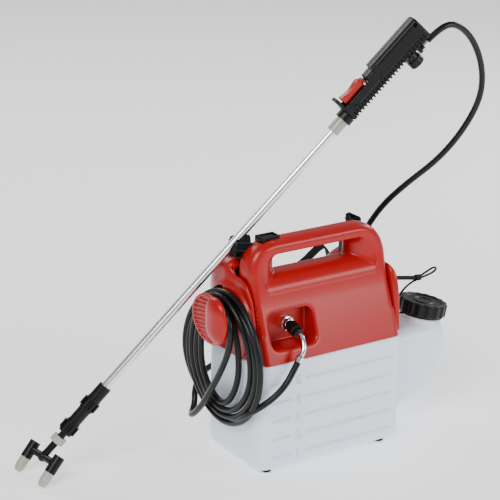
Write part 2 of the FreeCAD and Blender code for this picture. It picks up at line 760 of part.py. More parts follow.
def make_gun():
    """Two half-shells split down the middle, with ribs along the underside."""
    section = [(-9, -13), (-9, 13), (20, 13), (25.5, 9), (25.5, -9), (20, -13)]
    loop = [Vector(up, across, 655) for up, across in section + section[:1]]
    shell = Part.Face(Part.makePolygon(loop)).extrude(Vector(0, 0, 155))
    shell = shell.cut(gun_block(706, 722, 23.5, 40, 20))
    shell = shell.cut(gun_block(655, 706, 14, 40, 20))
    guard = gun_block(655, 660, 5, 30, 9)
    shell = shell.fuse(guard).fuse(gun_block(660, 706, 10, 18, 13).cut(
        gun_block(662, 704, 9, 20, 7.5)))
    cavity = gun_block(662, 800, -5, 19, 9)
    bore = Part.makeCylinder(6.05, 40, Vector(0, 0, 630), Vector(0, 0, 1))
    for k in range(20):
        t = 664 + k * 5.6
        shell = shell.cut(gun_block(t, t + 2.4, -12, -6.8, 20))
    plug_hole = Part.makeCylinder(7.05, 14, Vector(-16, 0, 771), Vector(1, 0, 0))
    pin_hole = Part.makeCylinder(1.5, 30, Vector(17, -15, 700), Vector(0, 1, 0))
    shell = shell.cut(cavity).cut(bore).cut(plug_hole).cut(pin_hole)
    for name, y0 in (("left", 0.0), ("right", -40.0)):
        half = shell.common(Part.makeBox(120, 40, 260, Vector(-60, y0, 600)))
        solid = max(half.Solids, key=lambda s: s.Volume)
        keep(feature(f"gun_half_{name}", solid, GUN_FRAME), f"gun_half_{name}")
    collar = turned("gun_collar", tube_profile("12", "8.8", "0", "10"), on_lance(644.8))
    keep(collar, "gun_collar")
    lever = Part.makeBox(9.5, 12, 36, Vector(15.5, -6, 663)).fuse(
        Part.makeCylinder(4.5, 12, Vector(17, -6, 700), Vector(0, 1, 0)))
    scoop = Part.makeCylinder(30, 20, Vector(52, -10, 678), Vector(0, 1, 0))
    hole = Part.makeCylinder(1.55, 30, Vector(17, -15, 700), Vector(0, 1, 0))
    keep(feature("trigger", lever.cut(scoop).cut(hole).removeSplitter(), GUN_FRAME), "trigger")
    pin = feature("trigger_pin", Part.makeCylinder(1.5, 24, Vector(17, -12, 700),
                                                   Vector(0, 1, 0)), GUN_FRAME)
    keep(pin, "trigger_pin")
    valve = Part.makeCylinder(8, 50, Vector(4, 0, 705), Vector(0, 0, 1))
    valve = valve.cut(Part.makeCylinder(3.05, 33, Vector(4, 0, 700), Vector(0, 0, 1)))
    keep(feature("valve_body", valve, GUN_FRAME), "valve_body")
    stem = Part.makeCylinder(3, 26, Vector(4, 0, 694), Vector(0, 0, 1))
    keep(feature("valve_stem", stem, GUN_FRAME), "valve_stem")
    keep(turned("valve_spring", tube_profile("2.9", "2.1", "0", "6"),
                along(lance(726, 4), LANCE_WAY)), "valve_spring")
    plug = turned("strainer_plug", [
        ("0", "0"), ("7", "0"), ("7", "6"), ("9.5", "6"), ("9.5", "14"), ("11", "14"),
        ("11", "24"), ("0", "24")], along(lance(771, -3), -LANCE_UP, LANCE_WAY))
    keep(plug, "strainer_plug")


def make_barb():
    """The hose tail at the gun's rear lower end."""
    spigot = Part.makeCylinder(3, 22, Vector(BARB_DROP, 0, 784), Vector(0, 0, 1))
    root = Part.makeCylinder(6.2, 4.5, Vector(BARB_DROP, 0, 783), Vector(0, 0, 1))
    foot = Part.makeBox(6.4, 12, 4.5, Vector(BARB_DROP, -6, 783))
    keep(feature("hose_barb", spigot.fuse(root).fuse(foot).removeSplitter(), GUN_FRAME),
         "hose_barb")


def make_clip(name, centre, way):
    ring = turned(name + "_band", tube_profile("hose_radius + 1.2", "hose_radius + 0.1", "0", "8"),
                  along(centre, way))
    return ring


def write_parts():
    doc.recompute()
    for obj in doc.Objects:
        if "Invalid" in obj.State or "Error" in obj.State:
            raise RuntimeError(f"{obj.Name} failed: {obj.State}")
    for obj in NODES:
        shape = obj.Shape
        if shape.isNull() or not shape.isValid() or not shape.Solids:
            raise RuntimeError(f"{obj.Label} has no valid solid")
    os.makedirs("parts", exist_ok=True)
    for obj in NODES:
        obj.Shape.exportStep(f"parts/{obj.Label}.step")
    print(len(NODES), "nodes")


make_tank()
make_cover_front()
make_housing()
make_screws()
make_switch()
make_power_unit()
tail_start, tail_way = make_outlet()
make_hook()
make_coil()
make_hose(tail_start, tail_way)
make_lance()
make_nozzles()
make_gun()
make_barb()
clips = [make_clip("outlet_clip", tail_start - tail_way * 15, tail_way),
         make_clip("gun_clip", lance(793, BARB_DROP), LANCE_WAY)]
keep(group("hose_clips", clips), "hose_clips")
make_cap()
make_tether()
make_strap()
write_parts()
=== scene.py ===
"""Looks of the shoulder sprayer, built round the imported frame. Shapes that are moulded or
rounded are written in millimetres as signed distances and meshed; the rest is the CAD's own."""
import json
import math

import bpy
import numpy as np
from mathutils import Matrix, Vector


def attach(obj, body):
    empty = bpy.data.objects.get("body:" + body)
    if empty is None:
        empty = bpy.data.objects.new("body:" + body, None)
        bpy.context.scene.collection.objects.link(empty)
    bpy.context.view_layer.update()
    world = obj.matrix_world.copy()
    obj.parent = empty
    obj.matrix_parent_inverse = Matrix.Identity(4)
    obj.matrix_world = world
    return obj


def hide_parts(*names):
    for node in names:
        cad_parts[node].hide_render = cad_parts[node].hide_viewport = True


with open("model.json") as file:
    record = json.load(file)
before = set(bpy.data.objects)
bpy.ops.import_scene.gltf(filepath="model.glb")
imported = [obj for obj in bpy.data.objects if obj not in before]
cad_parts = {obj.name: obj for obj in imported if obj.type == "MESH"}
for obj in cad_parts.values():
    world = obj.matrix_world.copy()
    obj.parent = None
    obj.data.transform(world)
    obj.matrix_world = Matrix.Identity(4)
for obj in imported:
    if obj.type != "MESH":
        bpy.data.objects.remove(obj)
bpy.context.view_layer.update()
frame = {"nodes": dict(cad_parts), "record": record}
MM = 0.001

# Camera, light and floor ------------------------------------------------------------------

CAMERA_AT = (-1.3522, -1.9681, 1.1133)
CAMERA_RIGHT = (0.84251, -0.53864, 0.00643)
CAMERA_UP = (0.17141, 0.27938, 0.94476)
CAMERA_BACK = (-0.51068, -0.79486, 0.32771)


def link(name, data):
    obj = bpy.data.objects.new(name, data)
    bpy.context.collection.objects.link(obj)
    return obj


def make_camera():
    camera = link("camera", bpy.data.cameras.new("camera"))
    columns = zip(CAMERA_RIGHT, CAMERA_UP, CAMERA_BACK, CAMERA_AT)
    camera.matrix_world = Matrix([*columns, (0, 0, 0, 1)])
    camera.data.lens = 131.04
    camera.data.sensor_width = 36
    bpy.context.scene.camera = camera


def area_light(name, place, target, width, power, colour=(1, 1, 1)):
    data = bpy.data.lights.new(name, "AREA")
    data.shape = "RECTANGLE"
    data.size = width
    data.size_y = width * 0.6
    data.energy = power
    data.color = colour
    light = link(name, data)
    way = Vector(target) - Vector(place)
    light.location = place
    light.rotation_euler = way.to_track_quat("-Z", "Y").to_euler()


def make_studio():
    world = bpy.data.worlds.new("studio")
    bpy.context.scene.world = world
    world.use_nodes = True
    background = world.node_tree.nodes["Background"]
    background.inputs["Color"].default_value = (0.93, 0.95, 1, 1)
    background.inputs["Strength"].default_value = 0.42
    area_light("key", (-2.1, -1.3, 2.3), (0, 0, 0.2), 1.7, 72)
    area_light("fill", (1.4, -2.4, 1.3), (0, 0, 0.15), 1.6, 42, (0.94, 0.97, 1))
    area_light("side", (2.3, 0.6, 1.4), (0, 0, 0.2), 1.2, 26)
    area_light("rear", (-0.3, 2.4, 1.9), (0, 0, 0.25), 1.6, 26)
    mesh = bpy.data.meshes.new("floor")
    reach, level = 30, -0.0006
    mesh.from_pydata([(-reach, -reach, level), (reach, -reach, level),
                      (reach, reach, level), (-reach, reach, level)], [], [(0, 1, 2, 3)])
    floor = link("floor", mesh)
    paper = bpy.data.materials.new("floor_paper")
    paper.use_nodes = True
    shader = paper.node_tree.nodes["Principled BSDF"]
    shader.inputs["Base Color"].default_value = (0.95, 0.95, 0.95, 1)
    shader.inputs["Roughness"].default_value = 0.9
    shader.inputs["Emission Color"].default_value = (1, 1, 1, 1)
    shader.inputs["Emission Strength"].default_value = 0.55
    mesh.materials.append(paper)


make_camera()
make_studio()

# Materials --------------------------------------------------------------------------------


def material(name, colour, rough, grain=900, bump=0.04, vary=0.05, **sockets):
    """A Principled finish whose colour and roughness drift a little and whose skin is grained.
    grain is the moulded texture's frequency per metre, and bump its height."""
    made = bpy.data.materials.new(name)
    made.use_nodes = True
    tree = made.node_tree
    shader = tree.nodes["Principled BSDF"]
    place = tree.nodes.new("ShaderNodeTexCoord")
    drift = tree.nodes.new("ShaderNodeTexNoise")
    drift.inputs["Scale"].default_value = 14
    drift.inputs["Detail"].default_value = 3
    shades = tree.nodes.new("ShaderNodeValToRGB")
    low = [channel * (1 - vary) for channel in colour]
    high = [min(channel * (1 + vary), 1) for channel in colour]
    shades.color_ramp.elements[0].position = 0.15
    shades.color_ramp.elements[0].color = (*low, 1)
    shades.color_ramp.elements[1].position = 0.85
    shades.color_ramp.elements[1].color = (*high, 1)
    skin = tree.nodes.new("ShaderNodeTexNoise")
    skin.inputs["Scale"].default_value = grain
    skin.inputs["Detail"].default_value = 2
    lift = tree.nodes.new("ShaderNodeBump")
    lift.inputs["Strength"].default_value = bump
    lift.inputs["Distance"].default_value = 0.00005
    rub = tree.nodes.new("ShaderNodeMapRange")
    rub.inputs["To Min"].default_value = rough * 0.88
    rub.inputs["To Max"].default_value = min(rough * 1.15, 1)
    tree.links.new(place.outputs["Object"], drift.inputs["Vector"])
    tree.links.new(place.outputs["Object"], skin.inputs["Vector"])
    tree.links.new(drift.outputs[0], shades.inputs[0])
    tree.links.new(shades.outputs[0], shader.inputs["Base Color"])
    tree.links.new(skin.outputs[0], lift.inputs["Height"])
    tree.links.new(lift.outputs[0], shader.inputs["Normal"])
    tree.links.new(drift.outputs[0], rub.inputs[0])
    tree.links.new(rub.outputs[0], shader.inputs["Roughness"])
    for socket, value in sockets.items():
        shader.inputs[socket.replace("_", " ")].default_value = value
    return made


def webbing_material():
    """Woven strap: fine diagonal ribs, with no gloss."""
    made = material("webbing", (0.004, 0.004, 0.0043), 0.8, 2600, 0.2, 0.25,
                    Specular_IOR_Level=0.15)
    tree = made.node_tree
    shader = tree.nodes["Principled BSDF"]
    place = tree.nodes["Texture Coordinate"]
    waves = tree.nodes.new("ShaderNodeTexWave")
    waves.bands_direction = "DIAGONAL"
    waves.inputs["Scale"].default_value = 260
    waves.inputs["Distortion"].default_value = 0.6
    ribs = tree.nodes.new("ShaderNodeBump")
    ribs.inputs["Strength"].default_value = 0.5
    ribs.inputs["Distance"].default_value = 0.0006
    tree.links.new(place.outputs["Object"], waves.inputs["Vector"])
    tree.links.new(waves.outputs[0], ribs.inputs["Height"])
    tree.links.new(tree.nodes["Bump"].outputs[0], ribs.inputs["Normal"])
    tree.links.new(ribs.outputs[0], shader.inputs["Normal"])
    return made


RED = (0.36, 0.0022, 0.0018)
FINISH = {
    "tank_plastic": material("tank_plastic", (0.80, 0.86, 0.99), 0.32, 500, 0.03, 0.012,
                             Subsurface_Weight=0.45, Subsurface_Scale=0.012,
                             Subsurface_Radius=(1.0, 1.0, 1.1), Coat_Weight=0.1),
    "red_plastic": material("red_plastic", RED, 0.3, 1400, 0.012, 0.02,
                            Specular_IOR_Level=0.3, Coat_Weight=0.1, Coat_Roughness=0.12),
    "black_plastic": material("black_plastic", (0.0035, 0.0037, 0.004), 0.36, 1700, 0.06, 0.15,
                              Specular_IOR_Level=0.22),
    "grey_plastic": material("grey_plastic", (0.42, 0.43, 0.44), 0.45),
    "beige_plastic": material("beige_plastic", (0.40, 0.375, 0.31), 0.42, 1500, 0.06, 0.06),
    "clear_tube": material("clear_tube", (0.75, 0.77, 0.78), 0.25, 900, 0.02, 0.02,
                           Transmission_Weight=0.6, IOR=1.42),
    "cell_wrap": material("cell_wrap", (0.08, 0.15, 0.32), 0.3),
    "black_rubber": material("black_rubber", (0.004, 0.004, 0.0043), 0.5, 1300, 0.1, 0.15,
                             Specular_IOR_Level=0.22),
    "black_hose": material("black_hose", (0.003, 0.0031, 0.0034), 0.3, 1900, 0.05, 0.2,
                           Specular_IOR_Level=0.28),
    "webbing": webbing_material(),
    "chrome": material("chrome", (0.80, 0.81, 0.82), 0.12, 700, 0.02, 0.03, Metallic=1.0),
    "steel": material("steel", (0.58, 0.58, 0.59), 0.3, 1200, 0.05, 0.06, Metallic=1.0),
    "aluminium": material("aluminium", (0.78, 0.79, 0.81), 0.24, 1500, 0.04, 0.03,
                          Metallic=1.0),
    "grey_metal": material("grey_metal", (0.34, 0.315, 0.27), 0.4, 1500, 0.08, 0.08,
                           Metallic=0.25),
}
SLOTS = {row["node"]: row["material_slot"] for row in frame["record"]["subparts"]}


def finish_as(obj, slot):
    obj.data.materials.clear()
    obj.data.materials.append(FINISH[slot])


def stands_for(obj, slot, body, *nodes):
    """The piece's finish, the body it rides on, and the CAD nodes it replaces."""
    finish_as(obj, slot)
    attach(obj, body)
    if nodes:
        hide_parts(*nodes)


# Cords ------------------------------------------------------------------------------------

LANCE_FOOT = np.array((-392.1, 84, 8.8))
LANCE_WAY = np.array((0.672, -0.175, 0.72))
LANCE_WAY /= np.linalg.norm(LANCE_WAY)
LANCE_UP = np.array((-0.696, 0.182, 0.694))
LANCE_UP -= LANCE_WAY * LANCE_UP.dot(LANCE_WAY)
LANCE_UP /= np.linalg.norm(LANCE_UP)
LANCE_SIDE = np.cross(LANCE_WAY, LANCE_UP)
BARB_DROP = -15.5


def lance(t, up):
    """A point in millimetres, t along the lance from its foot and up from its middle."""
    return LANCE_FOOT + LANCE_WAY * t + LANCE_UP * up


def nurbs(name, points, radius):
    """An open NURBS cord through these points in millimetres."""
    curve = bpy.data.curves.new(name, "CURVE")
    curve.dimensions = "3D"
    spline = curve.splines.new("NURBS")
    spline.points.add(len(points) - 1)
    for knot, point in zip(spline.points, points):
        knot.co = (*(float(value) * MM for value in point), 1)
    spline.order_u = 3
    spline.use_endpoint_u = True
    spline.resolution_u = 8
    curve.bevel_depth = radius * MM
    curve.bevel_resolution = 6
    curve.use_fill_caps = True
    return link(name, curve)


def centreline(cord):
    """The cord's smooth line as points in metres."""
    plain = cord.data.copy()
    plain.bevel_depth = 0
    ghost = link(cord.name + "_line", plain)
    mesh = bpy.data.meshes.new_from_object(ghost)
    line = [vertex.co.copy() for vertex in mesh.vertices]
    bpy.data.objects.remove(ghost)
    bpy.data.curves.remove(plain)
    bpy.data.meshes.remove(mesh)
    return line


def length_of(line):
    return sum((b - a).length for a, b in zip(line, line[1:]))


def line_through(name, points):
    """The smooth line along these points in millimetres, as points in metres."""
    guide = nurbs(name, points, 1)
    line = centreline(guide)
    data = guide.data
    bpy.data.objects.remove(guide)
    bpy.data.curves.remove(data)
    return line


COIL_MIDDLE = (-8, 155)
# Each turn's extremes: lowest z, rearmost y, highest z, foremost y, and the x at each of them.
COIL_TURNS = [
    (66, 78, 252, -94, -131, -146, -130, -129.5),
    (62, 68, 242, -84, -136.5, -146, -131, -129.5),
    (71, 58.5, 248.5, -71, -137, -146.5, -140, -130),
    (80.5, 46, 238.5, -42, -137.5, -146.5, -140.5, -131),
    (90.5, 34, 243.5, -52, -138, -146, -148, -148),
]
POINTS_A_TURN = 16


def coil_points():
    """Four and a half loose turns that hang from the hook, nested and tilted off the side."""
    middle_y, middle_z = COIL_MIDDLE
    points = []
    for turn, (low, rear, top, fore, *stops) in enumerate(COIL_TURNS):
        last = turn == len(COIL_TURNS) - 1
        following = COIL_TURNS[turn if last else turn + 1]
        ends = stops + [following[4]]
        for step in range(POINTS_A_TURN // 2 if last else POINTS_A_TURN):
            angle = 2 * math.pi * step / POINTS_A_TURN
            quarter, part = divmod(step * 4 / POINTS_A_TURN, 1)
            quarter = int(quarter)
            blend = part * part * (3 - 2 * part)
            x = ends[quarter] * (1 - blend) + ends[quarter + 1] * blend
            reach_y = rear if quarter < 2 else fore
            if quarter in (1, 2):
                reach_z = top
            else:
                reach_z = low if quarter == 0 else following[0]
            y = middle_y + (reach_y - middle_y) * abs(math.sin(angle))
            z = middle_z + (reach_z - middle_z) * abs(math.cos(angle))
            points.append((x, y, z))
    return points[1:]


TAIL_START = np.array((-64.4, -93, 173.55))
TAIL_WAY = np.array((-0.5369, 0, -0.8437))
TAIL = [TAIL_START, TAIL_START + TAIL_WAY * 24, (-88, -95, 140), (-105, -96, 126),
        (-125, -89, 111), (-137, -70, 95), (-136, -42, 74)]
LEAVING = [(-148, -8, 244), (-148, -34, 236), (-149, -50, 215), (-150, -47, 185),
           (-151.5, -33, 155), (-153, -12, 122), (-154, 10, 90), (-154, 32, 66), (-153, 48, 54),
           (-147, 58, 52), (-138, 64, 62), (-132, 74, 78), (-114, 92, 90)]
RISER = [(-80, 104, 98), (-26, 110, 100), (30, 112, 104), (78, 112, 126), (116, 108, 164),
         (147, 99, 212), (169, 84, 264), (181, 62, 304), (203, 36, 340), (233, 0, 382),
         (256, -25, 428), (271.6, -42, 478), (261.6, -53.4, 526.4), (235, -60.2, 571.3),
         (197, -65.7, 598), lance(819, BARB_DROP), lance(787, BARB_DROP)]
HOSE_RADIUS = 4.5


def make_hose():
    points = TAIL + coil_points() + LEAVING + RISER
    hose = nurbs("hose", points, HOSE_RADIUS)
    length = length_of(centreline(hose))
    stands_for(hose, "black_hose", "tank", "hose_coil", "hose_outlet_run", "hose_gun_run")


def make_tether():
    loop = [(207, -0.5, 208.5), (216, -2, 213), (227, -2, 217.5), (236, 0, 217), (239, 3, 211),
            (233, 5, 206.5), (222, 4, 205), (209, 2, 204), (193, 0, 202), (177, -3, 196),
            (164, -6, 186), (159, -9, 174), (161, -10, 164), (170.6, -10, 161.2)]
    cord = nurbs("tether_loop", loop, 1.6)
    length = length_of(centreline(cord))
    stands_for(cord, "black_rubber", "tank", "tether_cord")
    sleeve_line = [(127, 14, 214), (153, 8, 213), (179, 3, 210), (199, 0, 207)]
    sleeve = nurbs("tether_tube", sleeve_line, 3.1)
    length = length_of(centreline(sleeve))
    stands_for(sleeve, "black_rubber", "tank", "tether_sleeve")


STRAP = [(-90, 24, 303), (-87, 42, 302), (-79, 62, 290), (-71, 82, 266), (-57, 92, 242),
         (-31, 94, 226), (1, 94, 220), (33, 93, 219), (55, 93, 223), (71, 92, 233),
         (87, 91, 246), (98, 90, 250), (104, 89, 240), (107, 88, 222), (113, 87, 206),
         (125, 84, 204), (134, 77, 220), (134, 64, 250), (121, 42, 284), (99, 22, 304)]
STRAP_WIDTH = 20
STRAP_THICKNESS = 1.8


def ribbon(name, line, width, thickness, across):
    """A webbing band along a smooth line in metres. across is the way its width lies."""
    bands = []
    side = Vector(across).normalized()
    half, deep = width * MM / 2, thickness * MM / 2
    edge = 0.3 * deep
    outline = [(-half, -edge), (-half + deep, -deep), (half - deep, -deep), (half, -edge),
               (half, edge), (half - deep, deep), (-half + deep, deep), (-half, edge)]
    for i, point in enumerate(line):
        ahead = (line[min(i + 1, len(line) - 1)] - line[max(i - 1, 0)]).normalized()
        wide = side - ahead * side.dot(ahead)
        wide = wide.normalized() if wide.length > 0.15 else bands[-1][1]
        if bands:
            before = bands[-1][1]
            wide = (before * 0.6 + wide * 0.4).normalized()
            wide = (wide - ahead * wide.dot(ahead)).normalized()
        bands.append((point, wide, ahead.cross(wide).normalized()))
    corners = [point + wide * u + normal * v
               for point, wide, normal in bands for u, v in outline]
    count = len(outline)
    faces = [tuple(range(count))[::-1],
             tuple(range(len(corners) - count, len(corners)))]
    for ring in range(len(bands) - 1):
        for k in range(count):
            a, b = ring * count + k, ring * count + (k + 1) % count
            faces.append((a, b, b + count, a + count))
    mesh = bpy.data.meshes.new(name)
    mesh.from_pydata(corners, [], faces)
    mesh.update()
    return link(name, mesh)


def make_strap():
    line = line_through("strap_guide", STRAP)
    strap = ribbon("shoulder_webbing", line, STRAP_WIDTH, STRAP_THICKNESS, (0.25, 1, 0.1))
    stands_for(strap, "webbing", "tank", "shoulder_strap")


make_hose()
make_tether()
make_strap()

# Signed distances, in millimetres ---------------------------------------------------------


def round_max(a, b, r):
    """What lies in both shapes, its edge rounded to radius r where they meet."""
    corner = np.hypot(np.maximum(a + r, 0), np.maximum(b + r, 0)) - r
    return np.where(np.minimum(a, b) > -r, corner, np.maximum(a, b))


def soft_min(a, b, k):
    """Either shape, blended over k where they meet."""
    h = np.maximum(k - np.abs(a - b), 0) / k
    return np.minimum(a, b) - h * h * k / 4


def soft_max(a, b, k):
    """What lies in both shapes, blended over k where they meet."""
    return -soft_min(-a, -b, k)


def rect(a, b, half_a, half_b, r):
    """A rectangle with rounded corners; r may vary from corner to corner."""
    u = np.abs(a) - half_a + r
    v = np.abs(b) - half_b + r
    return np.minimum(np.maximum(u, v), 0) + np.hypot(np.maximum(u, 0), np.maximum(v, 0)) - r


def rod(p, start, end, r):
    """A round bar between two points, with flat ends."""
    start, end = np.array(start, float), np.array(end, float)
    way = end - start
    reach = np.linalg.norm(way)
    way /= reach
    rel = [p[i] - start[i] for i in range(3)]
    t = sum(rel[i] * way[i] for i in range(3))
    out = np.sqrt(sum((rel[i] - t * way[i]) ** 2 for i in range(3))) - r
    return np.maximum(out, np.maximum(-t, t - reach))


def settle(points, shape, step, rounds):
    """Drops points onto the surface along its own slope."""
    tiny, furthest = step * 0.08, step * 0.45
    for _ in range(rounds):
        here = shape(*points.T)
        slope = np.stack([
            (shape(*(points + tiny * unit).T) - shape(*(points - tiny * unit).T)) / (2 * tiny)
            for unit in np.eye(3)], 1)
        size = np.maximum((slope ** 2).sum(1), 0.05)
        move = -(here / size)[:, None] * slope
        reach = np.linalg.norm(move, axis=1)[:, None]
        points = points + move * np.minimum(1, furthest / np.maximum(reach, 1e-9))
    return points


def evened(points, faces):
    """Moves each point halfway to the middle of its neighbours."""
    total = np.zeros_like(points)
    count = np.zeros(len(points))
    for k in range(4):
        here, following = faces[:, k], faces[:, (k + 1) % 4]
        for a, b in ((here, following), (following, here)):
            for axis in range(3):
                total[:, axis] += np.bincount(a, points[b, axis], len(points))
            count += np.bincount(a, minlength=len(points))
    middle = total / np.maximum(count, 1)[:, None]
    return (points + np.where(count[:, None] > 0, middle, points)) / 2


def quads_round(inside, index):
    """Four cells' vertices round each grid edge that runs from inside to outside."""
    faces = []
    for axis in range(3):
        b, c = (axis + 1) % 3, (axis + 2) % 3
        first = [slice(None)] * 3
        second = [slice(None)] * 3
        first[axis], second[axis] = slice(0, -1), slice(1, None)
        one, two = inside[tuple(first)], inside[tuple(second)]
        for sign, hit in ((1, one & ~two), (-1, two & ~one)):
            spots = np.argwhere(hit)
            spots = spots[(spots[:, b] > 0) & (spots[:, c] > 0)]
            corners = []
            for db, dc in ((0, 0), (-1, 0), (-1, -1), (0, -1)):
                cell = spots.copy()
                cell[:, b] += db
                cell[:, c] += dc
                cell = np.minimum(cell, np.array(index.shape) - 1)
                corners.append(index[tuple(cell.T)])
            faces.append(np.stack(corners, 1)[:, ::sign])
    faces = np.concatenate(faces)
    return faces[(faces >= 0).all(1)]


def sdf_mesh(name, shape, low, high, step, place=None):
    """Meshes shape(x, y, z) < 0 with one vertex in each cell it crosses, then drops the
    vertices onto the surface. place takes the shape's own millimetres to the row frame."""
    axes = [np.arange(a - step, b + 2 * step, step) for a, b in zip(low, high)]
    grid = np.meshgrid(*axes, indexing="ij", sparse=True)
    value = np.broadcast_to(shape(*grid), [len(a) for a in axes]).astype(np.float32)
    inside = value < 0
    nx, ny, nz = (size - 1 for size in value.shape)
    count = sum(inside[i:nx + i, j:ny + j, k:nz + k].astype(np.int8)
                for i, j, k in np.ndindex(2, 2, 2))
    crossed = (count > 0) & (count < 8)
    index = np.full(crossed.shape, -1, np.int64)
    cells = np.argwhere(crossed)
    index[tuple(cells.T)] = np.arange(len(cells))
    points = np.array([axis[0] for axis in axes]) + (cells + 0.5) * step
    faces = quads_round(inside, index)
    points = settle(points, shape, step, rounds=5)
    for _ in range(3):
        points = settle(evened(points, faces), shape, step, rounds=2)
    if place is not None:
        points = points @ place[:3, :3].T + place[:3, 3]
    mesh = bpy.data.meshes.new(name)
    mesh.from_pydata((points * MM).tolist(), [], faces.tolist())
    mesh.polygons.foreach_set("use_smooth", [True] * len(mesh.polygons))
    mesh.update()
    return link(name, mesh)


# Tank -------------------------------------------------------------------------------------

SEAM = 161
TANK_FOOT = 4
FILLER_WAY = np.array((0.196, -0.04, 0.98))
FILLER_WAY /= np.linalg.norm(FILLER_WAY)
CAP_TOP = np.array((206.5, -12, 176))


def on_filler(depth):
    """A point in millimetres, depth down the filler's own line from the cap's top."""
    return CAP_TOP - FILLER_WAY * depth


def tank_shape(x, y, z):
    """The blow moulding: a box that widens downwards, the bulge on its right, and the neck."""
    grow = 2 * np.clip((SEAM - z) / (SEAM - TANK_FOOT), 0, 1)
    corner = np.where(y < 0, 20, 45)
    plan = rect(x, y - 0.25, 120.5 + grow, 78.75 + grow / 2, corner)
    body = round_max(plan, TANK_FOOT - z, 12)
    body = round_max(body, z - SEAM, 2)
    middle_x, middle_z, reach, top_round = 127.3, 128, 99.6, 22
    side = np.maximum(x - middle_x, 0)
    lower = np.where(x > middle_x, np.hypot(side, middle_z - z), middle_z - z) - reach
    shoulder_x = middle_x + reach - top_round
    rise = np.maximum(z - middle_z, 0)
    upper = np.where(x > shoulder_x, np.hypot(np.maximum(x - shoulder_x, 0), rise),
                     rise) - top_round
    profile = np.where(z < middle_z, lower, upper)
    bulge = np.maximum(round_max(profile, np.abs(y + 12) - 38, 20), 95 - x)
    tank = soft_min(body, bulge, 9)
    neck = rod((x, y, z), on_filler(42), on_filler(7.6), 29)
    bore = rod((x, y, z), on_filler(46), on_filler(0), 25.5)
    return np.maximum(soft_min(tank, neck, 8), -bore)


def make_tank():
    tank = sdf_mesh("tank_blow_moulding", tank_shape, (-123, -80, 3.5), (229, 80, 171), 2.2)
    stands_for(tank, "tank_plastic", "tank", "tank_shell")


# Raised marks: soft bars standing 1.7 mm off the front, and their numbers.
LEVEL_FIRST = 23.5
LEVEL_PITCH = 27.1
LEVEL_COUNT = 5


def bar_shape(half_long, half_high, depth):
    def shape(x, y, z):
        flat = rect(x, z, half_long, half_high, half_high * 0.9)
        return round_max(flat, np.abs(y) - depth, depth * 0.9)
    return shape


def front_at(z):
    """The depth of the tank's front face at this height."""
    return -78.5 - (SEAM - z) / (SEAM - TANK_FOOT)


def make_marks():
    for name, centre, half in (("long", 27.5, 73.5), ("short", -85, 16)):
        for i in range(LEVEL_COUNT):
            z = LEVEL_FIRST + i * LEVEL_PITCH
            place = np.eye(4)
            place[:3, 3] = (centre, front_at(z) - 0.2, z)
            mark = sdf_mesh(f"level_{name}_{i}", bar_shape(half, 1.7, 1.5),
                            (-half, -1.5, -1.7), (half, 1.5, 1.7), 0.8, place)
            stands_for(mark, "tank_plastic", "tank")
    for i in range(LEVEL_COUNT):
        curve = bpy.data.curves.new(f"level_number_{i + 1}", "FONT")
        curve.body = str(i + 1)
        curve.size = 0.0185
        curve.align_x = "CENTER"
        curve.extrude = 0.0011
        curve.bevel_depth = 0.0004
        curve.bevel_resolution = 2
        number = link(curve.name, curve)
        z = LEVEL_FIRST + i * LEVEL_PITCH - 6.5
        number.location = (-0.0576, (front_at(z) - 0.2) * MM, z * MM)
        number.rotation_euler = (math.pi / 2, 0, 0)
        stands_for(number, "tank_plastic", "tank")


# Cover ------------------------------------------------------------------------------------

LEAN_NORMAL = (-0.9381, 0.3463)


def lean(y, z):
    """Distance in front of the panel's leaning face."""
    return LEAN_NORMAL[0] * (y + 77.5) + LEAN_NORMAL[1] * (z - 168)


def cover_shape(x, y, z):
    """The front panel: a leaning slab with the handle's opening, the switch's pocket and the
    handle's well cut into it, and hollow behind."""
    front = soft_min(lean(y, z), -38 - y, 16)
    slab = round_max(front, y + 2, 6)
    slab = round_max(slab, z - 324.5, 15)
    corner = np.where(z > 250, np.where(x < 0, 46, 52), 1)
    face = rect(x - 1.25, z - 162.25, 112.75, 162.25, corner)
    side_round = np.where(z > 200, 11, 8)
    solid = round_max(slab, face, side_round)
    flare = np.clip((-y - 6) / 34, 0, 1.1) ** 2
    right, left = 61 + 27 * flare, -60 - 26 * flare
    width = np.abs(x - (left + right) / 2) - (right - left) / 2
    top = z - 304 + 4 * flare
    floor = np.where(y < -20, np.hypot(np.minimum(y + 20, 0), z - 245) - 28.4, z - 273.4)
    grip = round_max(width, top, 14)
    grip = soft_max(grip, -floor, 5)
    grip = np.maximum(grip, 251 - z)
    solid = soft_max(solid, -grip, 0.8 + 8.2 * np.clip((z - 262) / 14, 0, 1))
    pocket = np.maximum(rect(x + 59, z - 202.5, 36, 23.5, 11), y + 40)
    solid = soft_max(solid, -pocket, 5)
    well = np.maximum(rect(x + 70.5, y + 16, 14.5, 9, 2), 309 - z)
    solid = np.maximum(solid, -well)
    hollow = np.maximum(lean(y, z) + 5, np.maximum(z - 240, np.abs(x) - 107))
    tub = rect(x + 59, z - 202.5, 40, 27.5, 12)
    hollow = np.maximum(hollow, -np.maximum(tub, y + 37))
    solid = np.maximum(solid, -hollow)
    return np.maximum(solid, SEAM - z)


# The housing seen from the side: y and z of each corner.
REAR_SIDE = [(-67, SEAM), (-60, 232), (-48, 262), (-28, 281), (0, 286), (28, 276), (52, 260),
             (70, 245), (80, 225), (80, SEAM)]


